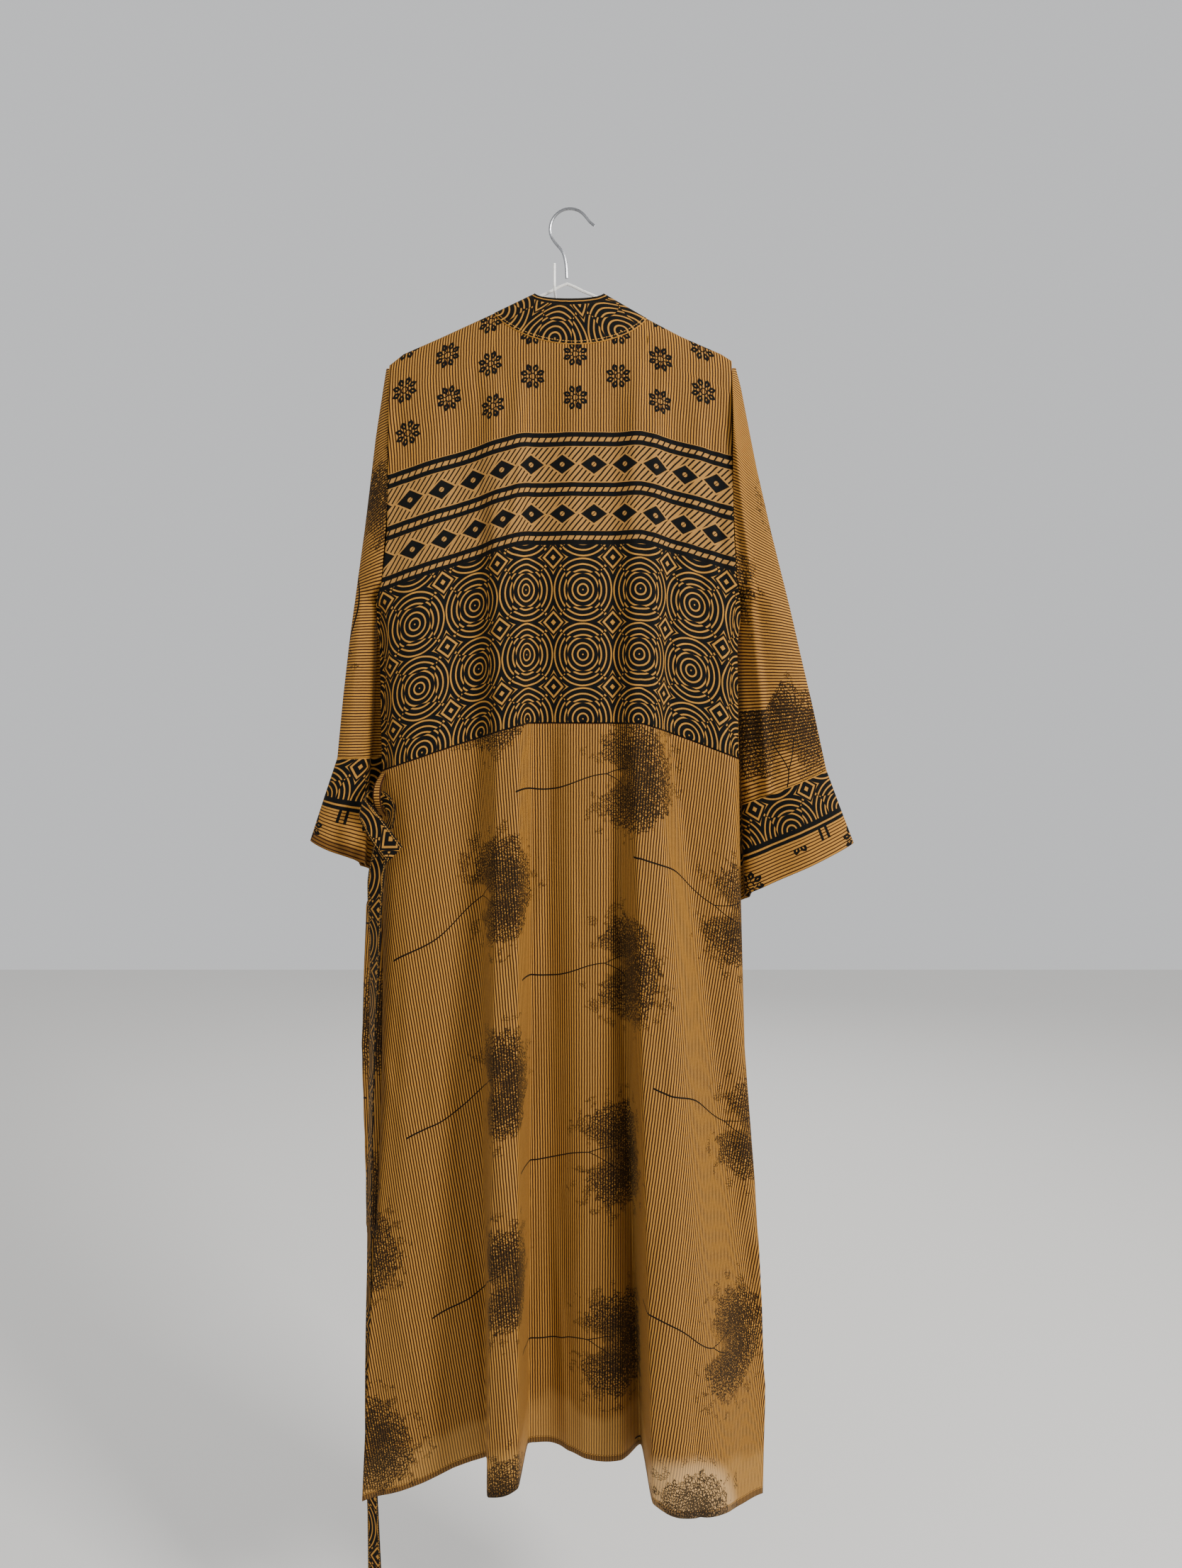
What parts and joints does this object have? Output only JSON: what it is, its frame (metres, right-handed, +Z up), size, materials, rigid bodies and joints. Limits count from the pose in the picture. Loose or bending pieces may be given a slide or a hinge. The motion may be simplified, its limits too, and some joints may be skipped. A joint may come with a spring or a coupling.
{
  "type": "kimono robe on a wire hanger and wall hook",
  "caption": "Long kimono robe of thin printed cloth, hung back outward on a wire hanger from a small wall hook, with bordered sleeves, neck band, side slits and a tie belt",
  "frame": {"origin": "where the wall hook's shank enters the wall, in the plane of the wall", "axes": "+Z up, +Y into the wall, the robe's back faces -Y, and +X is the viewer's right as the back is seen"},
  "size_m": [0.6365, 0.1575, 1.6537],
  "materials": {
    "striped_cloth": "thin ochre cloth with fine dark stripes and leafy bushes, soft sheen",
    "printed_back": "thin ochre cloth printed with flowers, diamond borders and rings, soft sheen",
    "ring_cloth": "thin cloth printed with black and tan rings, soft sheen",
    "coated_wire": "white coated steel wire, satin",
    "bare_wire": "bare steel wire, satin",
    "hook_paint": "white enamel, satin"
  },
  "bodies": {
    "root": {"back_upper": "printed_back", "back_lower": "striped_cloth", "front_left": "striped_cloth", "front_right": "striped_cloth", "sleeve_left": "striped_cloth", "sleeve_right": "striped_cloth", "cuff_left": "ring_cloth", "cuff_right": "ring_cloth", "neck_band": "ring_cloth", "front_band_left": "ring_cloth", "front_band_right": "ring_cloth", "belt": "ring_cloth", "belt_loop_left": "ring_cloth", "hanger": "coated_wire", "crook": "bare_wire", "wall_hook": "hook_paint"}
  },
  "joints": []
}
